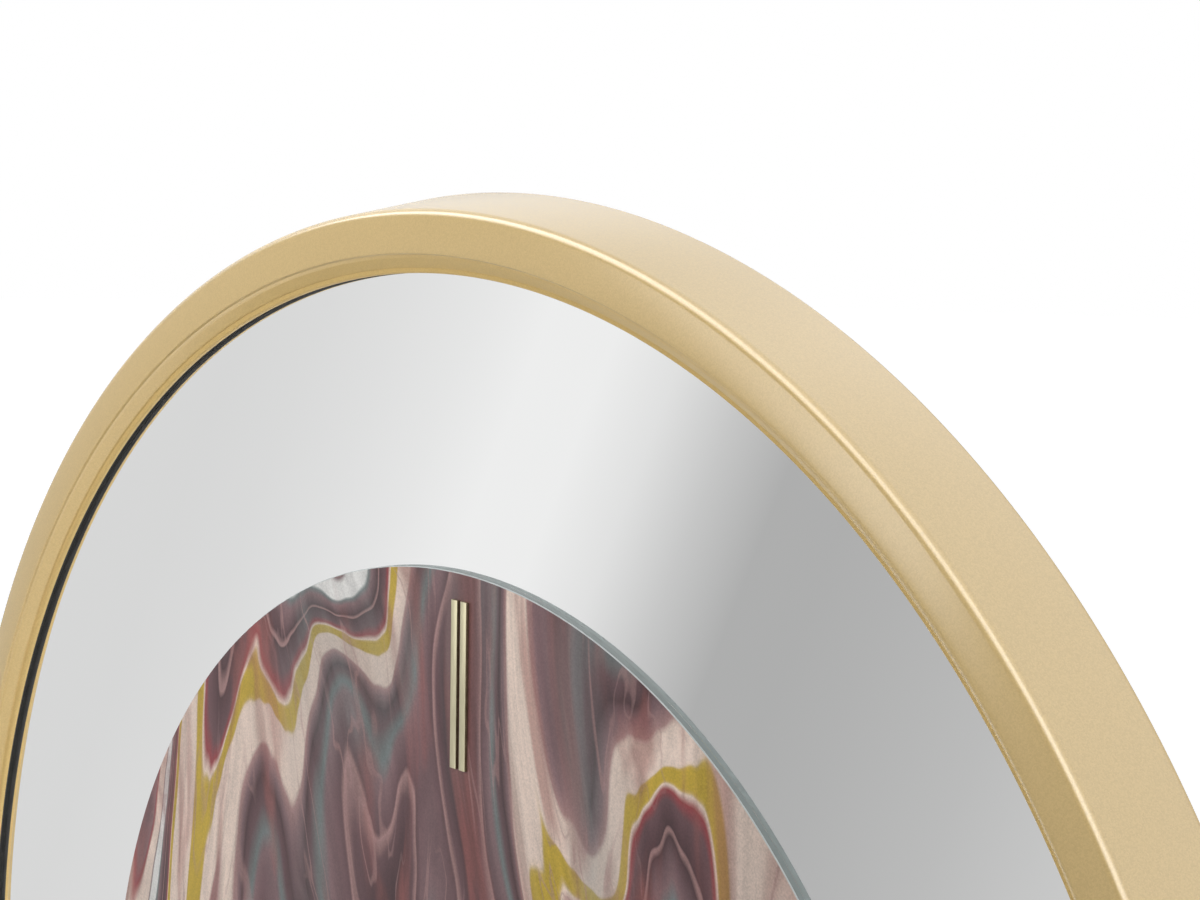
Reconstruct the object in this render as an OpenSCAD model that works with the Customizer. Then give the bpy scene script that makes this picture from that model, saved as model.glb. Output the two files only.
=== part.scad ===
// Round wall clock: a gold rim around a mirror, a printed glass dial and a quartz movement behind it.
// Pieces are drawn face up on the bench: x right, y to twelve o'clock, z from the wall to the viewer.
// hung() stands them against the wall: +X right, +Y into the wall, +Z up, origin on the axis at the wall.

/* [Rim] */
// Diameter of the rim's back edge
outer_d = 610; // [400:5:900]
// Depth of the rim from the wall to its front
rim_depth = 32; // [31:0.5:50]
// Width of the rim seen from the front, from its back edge to the tip of its lip
rim_face = 22.9; // [20:0.05:40]
// Draft of the outer wall, in degrees
rim_draft = 8; // [0:0.5:9]
// Thickness of the rim's wall
rim_wall = 3; // [2:0.25:3.5]
// Radius of the front outer edge
front_round = 3; // [2:0.5:6]
// Slope of the crowned front where it meets that edge, in degrees
front_crown = 11; // [3:0.5:20]
// Radius of the back outer edge
back_round = 1.5; // [0.5:0.25:2]
// Depth of the inner bevel, from the rim's front to the middle of the bead
bevel_depth = 5.5; // [4:0.05:7]
// Slope of the inner bevel, in degrees
bevel_angle = 43.5; // [35:0.5:55]
// Radius of the fine groove between the front and the bevel
groove_round = 0.6; // [0.2:0.05:0.8]
// Radius of the bead at the tip of the lip
bead_round = 1.05; // [0.8:0.05:1.8]

/* [Mirror and back panel] */
// Thickness of the mirror glass
mirror_t = 3; // [2:0.5:5]
// How far the mirror reaches under the lip
mirror_cover = 6.65; // [4:0.05:7]
// Thickness of the foam gasket between the lip and the mirror
gasket_t = 1; // [0.5:0.25:3]
// Width of that gasket
gasket_w = 5.75; // [2:0.25:6]
// Thickness of the back panel
panel_t = 6; // [4:0.5:9]
// Gap between the back panel and the rim's wall
panel_gap = 0.8; // [0.3:0.1:1.5]
// Number of screws that hold the back panel
panel_screw_count = 8; // [6:1:12]
// Diameter of the bosses that take those screws
boss_d = 8; // [7:0.25:9]
// Diameter of the screws' shanks
screw_d = 2.6; // [2:0.1:3]
// Length of the panel screws under their heads
screw_len = 12; // [9:0.5:13]

/* [Hanger] */
// Distance from the rim's top edge down to the middle of the hanger
hanger_inset = 70; // [55:5:200]
// Length of the hanger's raised plate
hanger_w = 60; // [40:1:90]
// Height of the hanger's strip
hanger_h = 26; // [24:1:40]
// Thickness of the hanger's steel
hanger_t = 1.5; // [1:0.25:2]
// Length of each foot
foot_w = 14; // [10:1:20]
// Gap between the hanger's plate and the wall
hanger_off = 4; // [2:0.5:6]
// Diameter of the keyhole's entry
keyhole_d = 9; // [8:0.5:11]
// Width of the keyhole's slot
keyslot_w = 4.6; // [4:0.2:6]
// Rise from the keyhole's entry to the top of its slot
keyhole_rise = 9; // [7:0.5:11]
// Length of the hanger screws under their heads
hanger_screw_len = 6; // [4:0.5:6.5]

/* [Dial and markers] */
// Diameter of the dial
dial_d = 392; // [200:2:500]
// Thickness of the dial glass
dial_t = 2; // [1:0.25:4]
// Thickness of the adhesive behind the dial
adhesive_t = 0.2; // [0.1:0.05:1]
// Length of a marker bar
marker_len = 50; // [20:1:80]
// Width of a marker bar
marker_w = 2.85; // [2:0.05:6]
// Thickness of a marker bar
marker_t = 1; // [0.5:0.1:2]
// Gap between the two bars at twelve
marker_gap = 1.5; // [0.5:0.1:4]
// Distance from the end of a bar to the dial's edge
marker_inset = 8; // [2:0.5:30]

/* [Hands] */
// Reach of the minute hand
minute_len = 150; // [60:1:180]
// Reach of the hour hand
hour_len = 104; // [50:1:140]
// Tail of both hands
hand_tail = 30; // [15:1:45]
// Width of the minute hand at its hub
minute_w = 6; // [4:0.25:9]
// Width of the hour hand at its hub
hour_w = 8; // [5:0.25:11]
// Width of both hands at their tips, as a share of the hub width
hand_taper = 0.55; // [0.3:0.05:1]
// Thickness of the hands
hand_t = 0.8; // [0.5:0.1:1.5]
// Time shown, hours
show_hour = 10; // [0:1:11]
// Time shown, minutes
show_minute = 10; // [0:1:59]

/* [Movement] */
// Distance from the centre to the motion wheel's stud
motion_cd = 9; // [8.5:0.1:10]
// Module of the rotor pinion and of the wheel it drives
rotor_m = 0.25; // [0.22:0.01:0.27]
// Thickness of the toothed wheels
wheel_t = 0.8; // [0.6:0.05:1]
// Gap between one layer of wheels and the next
layer_gap = 0.4; // [0.3:0.05:0.6]
// Thickness of the movement's walls
shell_t = 1.5; // [1.2:0.1:2]
// Diameter of the threaded bush
bush_d = 8; // [7.5:0.1:10]
// Diameter of the hour pipe
pipe_d = 5; // [4.4:0.1:5.4]
// Diameter of the minute arbor
minute_arbor_d = 3; // [2.6:0.1:3.4]
// Diameter of the second arbor
second_arbor_d = 0.9; // [0.7:0.05:1]
// Diameter of the setting knob
knob_d = 15; // [10:0.5:18]
// Thickness of the setting knob
knob_t = 2.5; // [2:0.1:2.8]
// Diameter of the cell, size AA
cell_d = 14.2; // [13.5:0.1:14.5]
// Length of the cell over its button
cell_len = 50.5; // [49:0.1:52]

/* [Hidden] */
$fn = 96;

// Clearances: a turning shaft in its hole, a fixed shaft in its hole, a piece that slips over another
run_gap = 0.05;
fix_gap = 0.03;
slip_gap = 0.25;
// Depth by which joined shapes of one piece run into each other
fuse = 0.5;

// Rim section: radii and heights
front_z = rim_depth;
lip_r = outer_d / 2 - rim_face;
lip_z = front_z - bevel_depth;
seat_z = lip_z - bead_round;
land_z = front_z - rim_wall;
function wall_out_r(z) = outer_d / 2 - z * tan(rim_draft);
function wall_in_r(z) = wall_out_r(z) - rim_wall / cos(rim_draft);

// Mirror and panel, behind the lip
edge_gap = 1.25;
pilot_extra = 1;
mirror_front = seat_z - gasket_t;
mirror_back = mirror_front - mirror_t;
panel_back = mirror_back - panel_t;
mirror_r = lip_r + mirror_cover;
seat_r = mirror_r + edge_gap;
panel_r = wall_in_r(mirror_back) - panel_gap;
boss_ring = (mirror_r + panel_r) / 2;
pilot_depth = screw_len - panel_t + pilot_extra;
hanger_up = outer_d / 2 - hanger_inset;

// Dial, in front of the mirror
dial_back = mirror_front + adhesive_t;
dial_front = dial_back + dial_t;
adhesive_rim = 1;
marker_top = dial_d / 2 - marker_inset;

// Centre stack: washer and nut on the bush, then the hands
bush_r = bush_d / 2;
washer_t = 0.6;
washer_r = 2 * bush_r;
nut_t = 2.2;
nut_flat = 3 * bush_r;
nut_front = dial_front + washer_t + nut_t;
bush_proud = 0.5;
bush_front = nut_front + bush_proud;
hour_gap = 0.8;
hour_hand_z = bush_front + hour_gap;
pipe_proud = 0.4;
pipe_front = hour_hand_z + hand_t + pipe_proud;
minute_gap = 0.6;
minute_hand_z = pipe_front + minute_gap;
minute_step = 0.3;
hand_nut_z = minute_hand_z + hand_t;
hand_nut_t = 2.6;
hand_nut_r = 4;
hand_nut_cap = 1;
arbor_front = hand_nut_z + hand_nut_t - hand_nut_cap;
second_back = 0.5;
pipe_r = pipe_d / 2;
minute_r = minute_arbor_d / 2;
second_r = second_arbor_d / 2;
minute_turn = show_minute * 6;
hour_turn = show_hour * 30 + show_minute / 2;

// Movement depths are counted backwards from the front of its shell
rubber_t = 0.8;
rubber_r = 15;
shell_front = mirror_back - rubber_t;
first_gap = 0.3;
function layer(i) = shell_t + first_gap + i * (wheel_t + layer_gap);
bridge_s = layer(6);
bridge_t = 1;
board_lift = 1;
board_s = bridge_s + bridge_t + board_lift;
board_t = 1;
cell_gap = 0.4;
shell_depth = shell_t + cell_gap + cell_d;
cover_s = shell_depth - shell_t;

// Tooth counts
hour_teeth = 40;
motion_pinion_teeth = 10;
motion_teeth = 36;
cannon_teeth = 12;
setting_teeth = 12;
clutch_teeth = 80;
third_pinion_teeth = 10;
third_teeth = 75;
second_pinion_teeth = 10;
second_teeth = 60;
inter_pinion_teeth = 10;
inter_teeth = 60;
rotor_teeth = 12;

// Tooth form: involute flanks, thinned for backlash
pressure_angle = 20;
tooth_share = 0.42;
tooth_add = 0.8;
tooth_ded = 1.2;
function module_for(cd, a, b) = 2 * cd / (a + b);
function tip_r(teeth, m) = teeth * m / 2 + tooth_add * m;
function involute(a) = tan(a) - a * PI / 180;

// Centre distances: each arbor stands just clear of the wheel that it passes
arbor_r = 0.5;
stud_extra = 0.3;
setting_r = 1.5;
setting_pivot_r = 1;
collar_t = 1;
knob_skin = 0.5;
hour_m = module_for(motion_cd, hour_teeth, motion_pinion_teeth);
cannon_m = module_for(motion_cd, motion_teeth, cannon_teeth);
setting_cd = cannon_m * (motion_teeth + setting_teeth) / 2;
third_gap = 1.6;
third_cd = tip_r(hour_teeth, hour_m) + arbor_r + third_gap;
clutch_m = module_for(third_cd, clutch_teeth, third_pinion_teeth);
third_m = module_for(third_cd, third_teeth, second_pinion_teeth);
inter_gap = 0.6;
inter_cd = tip_r(clutch_teeth, clutch_m) + arbor_r + inter_gap;
second_m = module_for(inter_cd, second_teeth, inter_pinion_teeth);
rotor_cd = rotor_m * (inter_teeth + rotor_teeth) / 2;

// Directions from one arbor to the next, in degrees, and the arbors' places
motion_dir = 180;
setting_dir = 160;
third_dir = 105;
inter_dir = 0;
rotor_dir = 40;
function polar(r, a) = r * [cos(a), sin(a)];
motion_at = polar(motion_cd, motion_dir);
setting_at = motion_at + polar(setting_cd, setting_dir);
third_at = polar(third_cd, third_dir);
inter_at = polar(inter_cd, inter_dir);
rotor_at = inter_at + polar(rotor_cd, rotor_dir);

// Turn of gear b that puts its gap opposite a tooth of gear a, which lies in direction dir from b's mate
function mesh_turn(dir, a_turn, a, b) = dir + 180 - 180 / b + (dir - a_turn) * a / b;
motion_mesh = mesh_turn(motion_dir, 0, cannon_teeth, motion_teeth);

// Posts that carry the bridge, each just clear of a wheel
post_r = 1.2;
post_gap = 0.8;
post_pin_r = 0.7;
post_1 = third_at + polar(tip_r(third_teeth, third_m) + post_r + post_gap, 170);
post_2 = inter_at + polar(tip_r(inter_teeth, rotor_m) + post_r + post_gap, 320);
post_3 = motion_at + polar(tip_r(motion_teeth, cannon_m) + post_r + post_gap, 222);
POSTS = [post_1, post_2, post_3];
bridge_edge = 1.9;
bridge_end = 2.6;
bridge_lo = [setting_at[0] - bridge_end, min(post_2[1], post_3[1]) - bridge_edge];
bridge_hi = [max(post_2[0], rotor_at[0]) + bridge_end, max(post_1[1], third_at[1]) + bridge_edge];

// Motor: a magnet in the stator's hole, and a coil on a core across the stator's legs
magnet_r = 3;
magnet_lead = 0.6;
magnet_s = layer(3) - magnet_lead;
magnet_t = layer(5) - layer_gap - magnet_s;
stator_t = 1;
stator_s = layer(3);
stator_gap = 0.4;
stator_edge = 1.5;
leg_w = 3;
leg_off = 6;
coil_rise = 15.5;
coil_y = rotor_at[1] + coil_rise;
core_s = stator_s + stator_t;
core_t = 1;
bobbin_r = 2.3;
flange_r = 4.4;
flange_t = 0.8;
winding_in = 0.5;
bobbin_len = 2 * leg_off - leg_w;

// Movement outline
contact_room = 1.25;
wall_room = 0.6;
coil_room = 0.8;
inner_half = max(cell_len / 2 + contact_room, rotor_at[0] + leg_off + leg_w / 2 + wall_room);
shell_half = inner_half + shell_t;
inner_top = coil_y + flange_r + coil_room;
shell_top = inner_top + shell_t;
train_low = -max(tip_r(clutch_teeth, clutch_m), tip_r(second_teeth, second_m), -bridge_lo[1]) - wall_room;
fence_t = 1.2;
bay_top = train_low - fence_t;
bay_low = bay_top - cell_d - 2 * cell_gap;
shell_low = bay_low - shell_t;
window_gap = 2;

// Circuit board and contacts
board_left = 13;
board_lo = [-board_left, bridge_lo[1]];
board_hi = [rotor_at[0] - leg_off - leg_w, inner_top - wall_room];
crystal_r = 1;
crystal_len = 6;
crystal_in = [4, 9];
chip_r = 4;
chip_rise = 1.6;
chip_round = 1;
chip_in = [8, 7];
stud_r = 1;
stud_in = 2;
STUDS = [
    [board_lo[0] + stud_in, board_lo[1] + stud_in],
    [board_hi[0] - stud_in, board_lo[1] + stud_in],
    [board_lo[0] + stud_in, bridge_hi[1] - stud_in]];
leaf_t = 0.4;
leaf_w = 9;
leaf_s = board_s + board_t;
tail_w = 3;
tail_hold = 2;
tail_in = 0.5;
tail_y = bridge_lo[1] + tail_in;

// Cell, lying across the bay
cell_y = (bay_top + bay_low) / 2;
cell_s = shell_t + cell_gap + cell_d / 2;
button_d = 5.5;
button_len = 1;
sleeve_t = 0.15;
sleeve_in = 0.5;
can_end = cell_len / 2 - button_len;
leaf_touch = 0.1;

// Stands a piece that was drawn on the bench against the wall
module hung() {
    rotate([90, 0, 0]) children();
}

// A flat outline between two heights
module slab(z0, z1) {
    translate([0, 0, z0]) linear_extrude(z1 - z0) children();
}

// A round bar between two heights
module bar(z0, z1, r) {
    translate([0, 0, z0]) cylinder(h = z1 - z0, r = r);
}

// The same two shapes at depths inside the movement
module deep_slab(s0, s1) {
    slab(shell_front - s1, shell_front - s0) children();
}

module deep_bar(s0, s1, r) {
    bar(shell_front - s1, shell_front - s0, r);
}

module at(p) {
    translate([p[0], p[1], 0]) children();
}

module ring(r_out, r_in) {
    difference() {
        circle(r_out);
        circle(r_in);
    }
}

module block(lo, hi) {
    translate(lo) square(hi - lo);
}

function arc(c, r, a0, a1, steps = 8) =
    [for (i = [0:steps]) c + polar(r, a0 + (a1 - a0) * i / steps)];

// Half the angle of a tooth at radius r
function tooth_half(teeth, m, r) =
    let (base_r = teeth * m / 2 * cos(pressure_angle))
    let (a = acos(base_r / max(r, base_r)))
    tooth_share * 180 / teeth + (involute(pressure_angle) - involute(a)) * 180 / PI;

// Outline of a toothed wheel, with the first tooth turned to the given angle
module teeth(count, m, turn = 0) {
    pitch_r = count * m / 2;
    radii = [pitch_r - tooth_ded * m, pitch_r - 0.35 * m, pitch_r + 0.3 * m, pitch_r + tooth_add * m];
    flank = [[-1, 0], [-1, 1], [-1, 2], [-1, 3], [1, 3], [1, 2], [1, 1], [1, 0]];
    polygon([for (i = [0:count - 1], f = flank)
        polar(radii[f[1]], turn + 360 * i / count + f[0] * tooth_half(count, m, radii[f[1]]))]);
}

module wheel(i, count, m, turn = 0) {
    deep_slab(layer(i), layer(i) + wheel_t) teeth(count, m, turn);
}

// A pan-head screw that points to the viewer, its head seated at height z
module screw(z, d, len) {
    head_t = 0.75 * d;
    difference() {
        union() {
            bar(z - head_t, z, 1.05 * d);
            bar(z - fuse, z + len, d / 2);
        }
        for (a = [0, 90]) rotate(a) translate([0, 0, z - head_t])
            cube([1.3 * d, 0.3 * d, 0.8 * head_t], center = true);
    }
}

module around(count, r) {
    for (i = [0:count - 1]) rotate(360 * (i + 0.5) / count) translate([r, 0, 0]) children();
}

// Rim, mirror and back panel
module rim() {
    back_c = [wall_out_r(back_round) - back_round / cos(rim_draft), back_round];
    bead_c = [lip_r + bead_round, lip_z];
    bevel_end = bead_c + polar(bead_round, 90 + bevel_angle);
    crease = [bevel_end[0] + (front_z - bevel_end[1]) / tan(bevel_angle), front_z];
    // The front is an arc: level at the groove, and at its full slope where it meets the outer edge
    band_r = crease[0] + groove_round;
    lean = tan(rim_draft);
    crown_room = outer_d / 2 - front_round / cos(rim_draft) - band_r + front_round * sin(front_crown)
        - lean * (front_z - front_round * cos(front_crown));
    crown_r = crown_room / (sin(front_crown) - lean * (1 - cos(front_crown)));
    crown_c = [band_r, front_z - crown_r];
    crown = arc(crown_c, crown_r, 90 - front_crown, 90);
    front_c = crown_c + polar(crown_r - front_round, 90 - front_crown);
    profile = concat(
        [[wall_in_r(0), 0]],
        arc(back_c, back_round, -90, rim_draft),
        arc(front_c, front_round, rim_draft, 90 - front_crown),
        [for (i = [1:len(crown) - 2]) crown[i]],
        arc(crease, groove_round, 360, 180 + bevel_angle),
        arc(bead_c, bead_round, 90 + bevel_angle, 270),
        [[seat_r, seat_z], [seat_r, land_z], [wall_in_r(land_z), land_z]]);
    color("#c8ad78") hung() difference() {
        union() {
            rotate_extrude($fn = 256) polygon(profile);
            around(panel_screw_count, boss_ring) bar(mirror_back, land_z + fuse, boss_d / 2);
        }
        around(panel_screw_count, boss_ring)
            bar(mirror_back - fuse, mirror_back + pilot_depth, screw_d / 2 + fix_gap);
    }
}

module lip_gasket() {
    color("#1c1a19") hung() slab(mirror_front, seat_z) ring(mirror_r, mirror_r - gasket_w);
}

module mirror_plate() {
    color("#d8dadb") hung() slab(mirror_back, mirror_front) ring(mirror_r, bush_r + slip_gap);
}

module hanger_spots() {
    for (x = [-1, 1], y = [-1, 1])
        translate([x * (hanger_w + foot_w) / 2, hanger_up + y * hanger_h / 4, 0]) children();
}

module back_panel() {
    color("#b08d62") hung() difference() {
        slab(panel_back, mirror_back) difference() {
            circle(panel_r);
            block([-shell_half - window_gap, shell_low - window_gap],
                [shell_half + window_gap, shell_top + window_gap]);
        }
        around(panel_screw_count, boss_ring)
            bar(panel_back - fuse, mirror_back + fuse, screw_d / 2 + slip_gap);
        hanger_spots() bar(panel_back - fuse, panel_back + hanger_screw_len, screw_d / 2 + fix_gap);
    }
}

module panel_screws() {
    color("#9a9ca0") hung() around(panel_screw_count, boss_ring) screw(panel_back, screw_d, screw_len);
}

// Hanger: a strip bent into a hat, with a keyhole in its raised plate
module hanger_bracket() {
    half = hanger_w / 2;
    plate_front = hanger_off + hanger_t;
    keyhole_y = hanger_up - keyhole_rise / 2;
    color("#a8abb0") hung() difference() {
        union() {
            slab(hanger_off, plate_front)
                block([-half, hanger_up - hanger_h / 2], [half, hanger_up + hanger_h / 2]);
            for (side = [0, 1]) mirror([side, 0, 0]) {
                slab(hanger_off, panel_back)
                    block([half - hanger_t, hanger_up - hanger_h / 2], [half, hanger_up + hanger_h / 2]);
                slab(panel_back - hanger_t, panel_back)
                    block([half - hanger_t, hanger_up - hanger_h / 2],
                        [half + foot_w, hanger_up + hanger_h / 2]);
            }
        }
        translate([0, keyhole_y, 0]) bar(hanger_off - fuse, plate_front + fuse, keyhole_d / 2);
        translate([0, keyhole_y + keyhole_rise, 0])
            bar(hanger_off - fuse, plate_front + fuse, keyslot_w / 2);
        slab(hanger_off - fuse, plate_front + fuse)
            block([-keyslot_w / 2, keyhole_y], [keyslot_w / 2, keyhole_y + keyhole_rise]);
        hanger_spots() bar(panel_back - hanger_t - fuse, panel_back + fuse, screw_d / 2 + slip_gap);
    }
}

module hanger_screws() {
    color("#9a9ca0") hung() hanger_spots() screw(panel_back - hanger_t, screw_d, hanger_screw_len);
}

// Dial and markers
module dial_adhesive() {
    color("#e4e2dc") hung() slab(mirror_front, dial_back)
        ring(dial_d / 2 - adhesive_rim, bush_r + slip_gap + adhesive_rim);
}

module dial_glass() {
    color("#8d6f70") hung() slab(dial_back, dial_front) ring(dial_d / 2, bush_r + slip_gap);
}

module marker_bar(x) {
    slab(dial_front, dial_front + marker_t)
        block([x - marker_w / 2, marker_top - marker_len], [x + marker_w / 2, marker_top]);
}

module marker_12() {
    color("#c8c3a5") hung() for (side = [-1, 1]) marker_bar(side * (marker_w + marker_gap) / 2);
}

module marker_3() {
    color("#c8c3a5") hung() rotate(-90) marker_bar(0);
}

module marker_6() {
    color("#c8c3a5") hung() rotate(180) marker_bar(0);
}

module marker_9() {
    color("#c8c3a5") hung() rotate(90) marker_bar(0);
}

// Hands
module hand_outline(reach, w, hub_r) {
    tip = w * hand_taper / 2;
    polygon([[-tip, -hand_tail], [tip, -hand_tail], [w / 2, 0], [tip, reach], [-tip, reach], [-w / 2, 0]]);
    circle(hub_r);
}

module hour_hand() {
    color("#c8ad78") hung() difference() {
        rotate(-hour_turn)
            slab(hour_hand_z, hour_hand_z + hand_t) hand_outline(hour_len, hour_w, 3 * pipe_r);
        bar(hour_hand_z - fuse, hour_hand_z + hand_t + fuse, pipe_r + fix_gap);
    }
}

module minute_hand() {
    color("#c8ad78") hung() difference() {
        rotate(-minute_turn)
            slab(minute_hand_z, minute_hand_z + hand_t) hand_outline(minute_len, minute_w, 4 * minute_r);
        bar(minute_hand_z - fuse, minute_hand_z + hand_t + fuse, minute_r - minute_step + fix_gap);
    }
}

module hand_nut() {
    rounding = 1;
    top = hand_nut_z + hand_nut_t;
    color("#c8ad78") hung() difference() {
        rotate_extrude() polygon(concat(
            [[0, hand_nut_z], [hand_nut_r, hand_nut_z]],
            arc([hand_nut_r - rounding, top - rounding], rounding, 0, 90),
            [[0, top]]));
        bar(hand_nut_z - fuse, arbor_front + fix_gap, minute_r - minute_step + fix_gap);
    }
}

// Fixing of the movement
module movement_gasket() {
    color("#242322") hung() slab(shell_front, mirror_back) ring(rubber_r, bush_r + slip_gap);
}

module fixing_washer() {
    color("#c9a85c") hung() slab(dial_front, dial_front + washer_t) ring(washer_r, bush_r + slip_gap);
}

module fixing_nut() {
    color("#c9a85c") hung() difference() {
        bar(dial_front + washer_t, nut_front, nut_flat / 2 / cos(30), $fn = 6);
        bar(dial_front, nut_front + fuse, bush_r + fix_gap);
    }
}

// Movement case
module movement_shell() {
    color("#2b2c2e") hung() difference() {
        union() {
            deep_slab(0, cover_s) difference() {
                block([-shell_half, shell_low], [shell_half, shell_top]);
                block([-inner_half, bay_low], [inner_half, inner_top]);
            }
            deep_slab(0, shell_t) block([-shell_half, shell_low], [shell_half, shell_top]);
            // Fence between the train and the cell, open at both ends for the contacts
            deep_slab(0, cover_s)
                block([-inner_half + 2 * leaf_t, bay_top], [inner_half - 2 * leaf_t, train_low]);
            // The bay's own walls reach the back
            deep_slab(cover_s - fuse, shell_depth) difference() {
                block([-shell_half, shell_low], [shell_half, bay_top]);
                block([-inner_half, bay_low], [inner_half, bay_top + fuse]);
            }
            bar(shell_front - fuse, bush_front, bush_r);
            at(motion_at) deep_bar(shell_t - fuse, layer(2) - layer_gap / 2, arbor_r + stud_extra);
            for (p = POSTS) at(p) {
                deep_bar(shell_t - fuse, bridge_s, post_r);
                deep_bar(bridge_s - fuse, bridge_s + bridge_t, post_pin_r);
            }
            for (side = [-1, 1]) at([rotor_at[0] + side * leg_off, coil_y])
                deep_bar(shell_t - fuse, stator_s, leg_w / 2);
        }
        deep_bar(-(bush_front - shell_front) - fuse, shell_t + fuse, pipe_r + run_gap);
        for (p = [third_at, inter_at, rotor_at]) at(p)
            deep_bar(shell_t / 2, shell_t + fuse, arbor_r + run_gap);
        at(setting_at) deep_bar(shell_t / 2, shell_t + fuse, setting_pivot_r + run_gap);
    }
}

module movement_cover() {
    color("#2f3032") hung() difference() {
        union() {
            deep_slab(cover_s, shell_depth) block([-shell_half, bay_top], [shell_half, shell_top]);
            // Collar that guides the setting shaft
            at(setting_at) deep_bar(cover_s - collar_t, cover_s + fuse, 2 * setting_r);
        }
        at(setting_at) deep_bar(cover_s - collar_t - fuse, shell_depth + fuse, setting_r + run_gap);
    }
}

module train_bridge() {
    color("#d9d4c4") hung() difference() {
        union() {
            deep_slab(bridge_s, bridge_s + bridge_t) block(bridge_lo, bridge_hi);
            // Studs that carry the circuit board
            for (p = STUDS) at(p) deep_bar(bridge_s + bridge_t - fuse, board_s, stud_r);
        }
        for (p = POSTS) at(p) deep_bar(bridge_s - fuse, bridge_s + bridge_t + fuse, post_pin_r + fix_gap);
        for (p = [third_at, inter_at, rotor_at]) at(p)
            deep_bar(bridge_s - fuse, bridge_s + bridge_t + fuse, arbor_r + run_gap);
        deep_bar(bridge_s - fuse, bridge_s + bridge_t + fuse, second_r + run_gap);
        at(setting_at) deep_bar(bridge_s - fuse, bridge_s + bridge_t + fuse, setting_r + run_gap);
    }
}

// Motion work: minute arbor, motion wheel and hour wheel
module hour_wheel() {
    color("#e6dcc0") hung() difference() {
        union() {
            wheel(0, hour_teeth, hour_m);
            bar(shell_front - layer(0) - fuse, pipe_front, pipe_r);
        }
        bar(shell_front - layer(1), pipe_front + fuse, minute_r + run_gap);
    }
}

module cannon_pinion() {
    tail_s = layer(2) + wheel_t + layer_gap / 2;
    color("#c9a85c") hung() difference() {
        union() {
            wheel(1, cannon_teeth, cannon_m);
            bar(shell_front - tail_s, minute_hand_z, minute_r);
            bar(minute_hand_z - fuse, arbor_front, minute_r - minute_step);
        }
        bar(shell_front - tail_s - fuse, arbor_front + fuse, second_r + run_gap);
    }
}

module motion_wheel() {
    color("#e6dcc0") hung() at(motion_at) difference() {
        union() {
            wheel(1, motion_teeth, cannon_m, motion_mesh);
            deep_slab(layer(0), layer(1) + fuse) teeth(motion_pinion_teeth, hour_m,
                mesh_turn(motion_dir, 0, hour_teeth, motion_pinion_teeth));
        }
        deep_bar(shell_t, layer(2), arbor_r + stud_extra + run_gap);
    }
}

module setting_shaft() {
    color("#c2c4c6") hung() at(setting_at) {
        wheel(1, setting_teeth, cannon_m, mesh_turn(setting_dir, motion_mesh, motion_teeth, setting_teeth));
        deep_bar(shell_t / 2 + run_gap, layer(1) + fuse, setting_pivot_r);
        deep_bar(layer(1), shell_depth + first_gap + knob_t - knob_skin, setting_r);
    }
}

module setting_knob() {
    back_s = shell_depth + first_gap;
    grips = 36;
    color("#3a3b3d") hung() at(setting_at) difference() {
        deep_slab(back_s, back_s + knob_t) teeth(grips, knob_d / (grips + 2 * tooth_add));
        deep_bar(back_s - fuse, back_s + knob_t - knob_skin + fix_gap, setting_r + fix_gap);
    }
}

// Going train, from the clutch wheel back to the rotor
module clutch_wheel() {
    color("#e6dcc0") hung() difference() {
        wheel(2, clutch_teeth, clutch_m);
        deep_bar(layer(1), layer(3), minute_r + run_gap);
    }
}

module third_wheel() {
    color("#e6dcc0") hung() at(third_at) {
        wheel(3, third_teeth, third_m, mesh_turn(third_dir, 0, second_pinion_teeth, third_teeth));
        deep_slab(layer(2), layer(3) + fuse)
            teeth(third_pinion_teeth, clutch_m, mesh_turn(third_dir, 0, clutch_teeth, third_pinion_teeth));
        deep_bar(shell_t / 2 + run_gap, bridge_s + bridge_t, arbor_r);
    }
}

module second_wheel() {
    color("#e6dcc0") hung() {
        wheel(4, second_teeth, second_m);
        deep_slab(layer(3), layer(4) + fuse) teeth(second_pinion_teeth, third_m);
        bar(shell_front - bridge_s - bridge_t, arbor_front - second_back, second_r);
    }
}

module intermediate_wheel() {
    color("#e6dcc0") hung() at(inter_at) {
        wheel(5, inter_teeth, rotor_m);
        deep_slab(layer(4), layer(5) + fuse)
            teeth(inter_pinion_teeth, second_m, mesh_turn(inter_dir, 0, second_teeth, inter_pinion_teeth));
        deep_bar(shell_t / 2 + run_gap, bridge_s + bridge_t, arbor_r);
    }
}

module rotor_pinion() {
    color("#e6dcc0") hung() at(rotor_at) {
        wheel(5, rotor_teeth, rotor_m, mesh_turn(rotor_dir, 0, inter_teeth, rotor_teeth));
        deep_bar(shell_t / 2 + run_gap, bridge_s + bridge_t, arbor_r);
    }
}

module rotor_magnet() {
    color("#4a4a4d") hung() at(rotor_at) difference() {
        deep_bar(magnet_s, magnet_s + magnet_t, magnet_r);
        deep_bar(magnet_s - fuse, magnet_s + magnet_t + fuse, arbor_r + fix_gap);
    }
}

module stator_plate() {
    yoke = leg_off + leg_w / 2;
    color("#8f9296") hung() at(rotor_at) deep_slab(stator_s, stator_s + stator_t) difference() {
        union() {
            block([-yoke, -magnet_r - stator_edge], [yoke, magnet_r + stator_edge]);
            for (side = [-1, 1]) translate([side * leg_off, 0])
                block([-leg_w / 2, 0], [leg_w / 2, coil_rise + leg_w / 2]);
        }
        circle(magnet_r + stator_gap);
    }
}

module coil_core() {
    yoke = leg_off + leg_w / 2;
    color("#8f9296") hung() at([rotor_at[0], coil_y]) deep_slab(core_s, core_s + core_t)
        block([-yoke, -leg_w / 2], [yoke, leg_w / 2]);
}

// Places a shape that stands on its end along the coil's core
module on_core() {
    translate([rotor_at[0], coil_y, shell_front - core_s - core_t / 2]) rotate([0, 90, 0]) children();
}

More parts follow.
